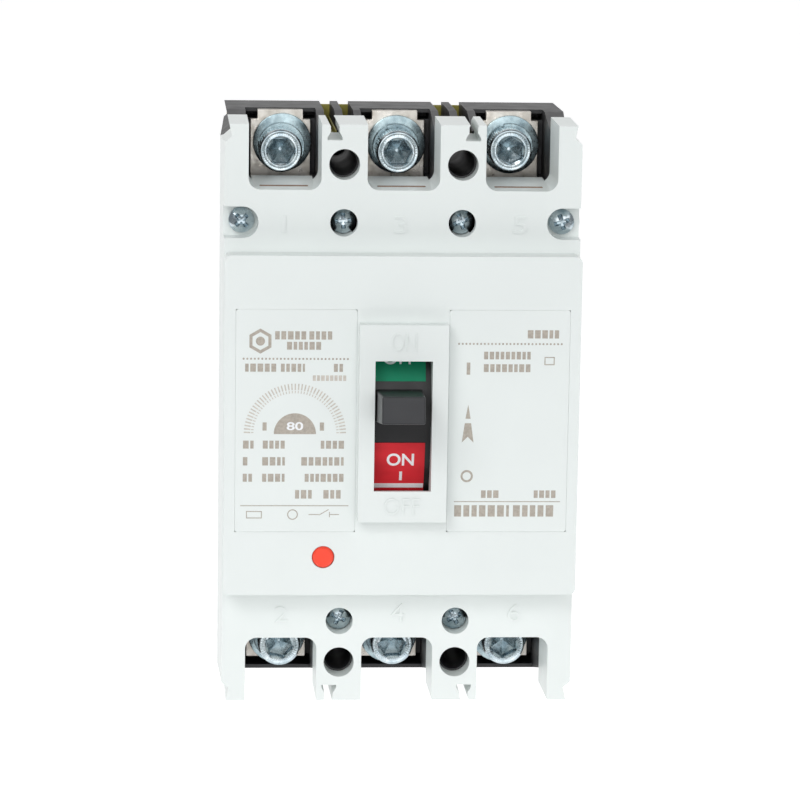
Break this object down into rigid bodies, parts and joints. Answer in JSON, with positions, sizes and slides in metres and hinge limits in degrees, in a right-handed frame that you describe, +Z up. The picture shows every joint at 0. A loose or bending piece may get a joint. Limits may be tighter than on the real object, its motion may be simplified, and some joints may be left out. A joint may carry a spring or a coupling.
{
  "type": "molded case circuit breaker",
  "caption": "Three-pole molded case circuit breaker with toggle handle, bolt terminals in open end pockets, accessory lids and a push-to-trip button.",
  "frame": {"origin": "centre of the mounting-hole rectangle on the back plane that meets the mounting panel", "axes": "+Z up along the length towards the line terminals (ON side of the handle), +X to the right seen from the front, +Y into the mounting panel, so the front faces -Y"},
  "size_m": [0.092, 0.086, 0.15],
  "materials": {
    "black_moulding": "moulded, fine texture",
    "white_moulding": "moulded, smooth",
    "insulating_sheet": "pressed laminate",
    "handle_plastic": "moulded, slight gloss",
    "red_label": "printed film",
    "green_label": "printed film",
    "button_plastic": "moulded",
    "zinc_steel": "zinc plated",
    "plated_copper": "silver plated",
    "copper": "bare copper",
    "silver": "contact alloy",
    "steel": "pressed steel",
    "spring_steel": "drawn wire",
    "fibre_board": "vulcanised fibre"
  },
  "bodies": {
    "housing": {"base": "black_moulding", "rear_insulating_plate": "insulating_sheet", "gap_liners": "insulating_sheet", "cover": "white_moulding", "left_accessory_lid": "white_moulding", "right_accessory_lid": "white_moulding", "cover_screws": "zinc_steel", "line_terminal_1": "plated_copper", "line_terminal_2": "plated_copper", "line_terminal_3": "plated_copper", "load_terminal_1": "plated_copper", "load_terminal_2": "plated_copper", "load_terminal_3": "plated_copper", "terminal_bolts": "zinc_steel", "spring_washers": "zinc_steel", "flat_washers": "zinc_steel", "terminal_nuts": "zinc_steel", "fixed_contacts": "silver", "arc_chute_plates_1": "steel", "arc_chute_plates_2": "steel", "arc_chute_plates_3": "steel", "arc_chute_boards_1": "fibre_board", "arc_chute_boards_2": "fibre_board", "arc_chute_boards_3": "fibre_board", "mechanism_frame": "steel", "handle_pins": "steel", "cradle_pins": "steel", "latch_pin": "steel", "heaters": "copper", "bimetals": "steel", "flexible_braids": "copper", "magnet_yokes": "steel", "armature_pins": "steel", "button_spring": "spring_steel"},
    "handle_assembly": {"handle": "handle_plastic", "handle_arm": "steel", "on_label": "red_label", "off_label": "green_label", "main_springs": "spring_steel"},
    "contact_assembly": {"contact_shaft": "black_moulding", "contact_arm_1": "copper", "contact_arm_2": "copper", "contact_arm_3": "copper", "moving_contacts": "silver", "contact_arm_pins": "steel", "link_pin": "steel"},
    "lower_link_pair": {"lower_links": "steel", "toggle_pin": "steel"},
    "upper_link_pair": {"upper_links": "steel"},
    "cradle_lever": {"cradle": "steel", "upper_link_pin": "steel"},
    "latch_lever": {"trip_latch": "steel"},
    "trip_bar_assembly": {"trip_bar": "black_moulding", "calibration_screws": "copper"},
    "armature_left": {"armature_1": "steel"},
    "armature_middle": {"armature_2": "steel"},
    "armature_right": {"armature_3": "steel"},
    "push_to_trip": {"test_button": "button_plastic"}
  },
  "joints": [
    {"name": "handle_toggle", "type": "hinge", "parent": "housing", "child": "handle_assembly", "pos_m": [0, -0.03, 0], "axis": [-1, 0, 0], "range_deg": [-22.5, 9.5], "deforming": ["main_springs"]},
    {"name": "contacts_close", "type": "hinge", "parent": "housing", "child": "contact_assembly", "pos_m": [0, -0.018, 0.004], "axis": [-1, 0, 0], "range_deg": [0, 22]},
    {"name": "lower_link_turn", "type": "hinge", "parent": "contact_assembly", "child": "lower_link_pair", "pos_m": [0, -0.02471, 0.01207], "axis": [-1, 0, 0], "range_deg": [0, 29.95]},
    {"name": "cradle_reset", "type": "hinge", "parent": "housing", "child": "cradle_lever", "pos_m": [0, -0.046, 0.025], "axis": [1, 0, 0], "range_deg": [0, 12]},
    {"name": "upper_link_turn", "type": "hinge", "parent": "cradle_lever", "child": "upper_link_pair", "pos_m": [0, -0.0495, 0.017], "axis": [-1, 0, 0], "range_deg": [-81.1, 0]},
    {"name": "latch_release", "type": "hinge", "parent": "housing", "child": "latch_lever", "pos_m": [0, -0.0355, -0.022], "axis": [1, 0, 0], "range_deg": [0, 8], "stiffness_Nm_per_rad": 0.02, "springref_deg": -5.73},
    {"name": "trip_bar_turn", "type": "hinge", "parent": "housing", "child": "trip_bar_assembly", "pos_m": [0, -0.05, -0.042], "axis": [-1, 0, 0], "range_deg": [0, 15]},
    {"name": "armature_left_pull", "type": "hinge", "parent": "housing", "child": "armature_left", "pos_m": [-0.03, -0.023, -0.031], "axis": [1, 0, 0], "range_deg": [0, 6], "stiffness_Nm_per_rad": 0.01, "springref_deg": -5.73},
    {"name": "armature_middle_pull", "type": "hinge", "parent": "housing", "child": "armature_middle", "pos_m": [0, -0.023, -0.031], "axis": [1, 0, 0], "range_deg": [0, 6], "stiffness_Nm_per_rad": 0.01, "springref_deg": -5.73},
    {"name": "armature_right_pull", "type": "hinge", "parent": "housing", "child": "armature_right", "pos_m": [0.03, -0.023, -0.031], "axis": [1, 0, 0], "range_deg": [0, 6], "stiffness_Nm_per_rad": 0.01, "springref_deg": -5.73},
    {"name": "button_push", "type": "slide", "parent": "housing", "child": "push_to_trip", "axis": [0, 1, 0], "range_m": [0, 0.0016], "stiffness_N_per_m": 600, "springref_m": -0.001, "deforming": ["button_spring"]}
  ],
  "couplings": [
    {"joint": "lower_link_turn", "follows": "contacts_close", "ratio": 1.3612},
    {"joint": "upper_link_turn", "follows": "contacts_close", "ratio": -3.686},
    {"joint": "trip_bar_turn", "follows": "button_push", "rad_per_m": 163.57}
  ]
}
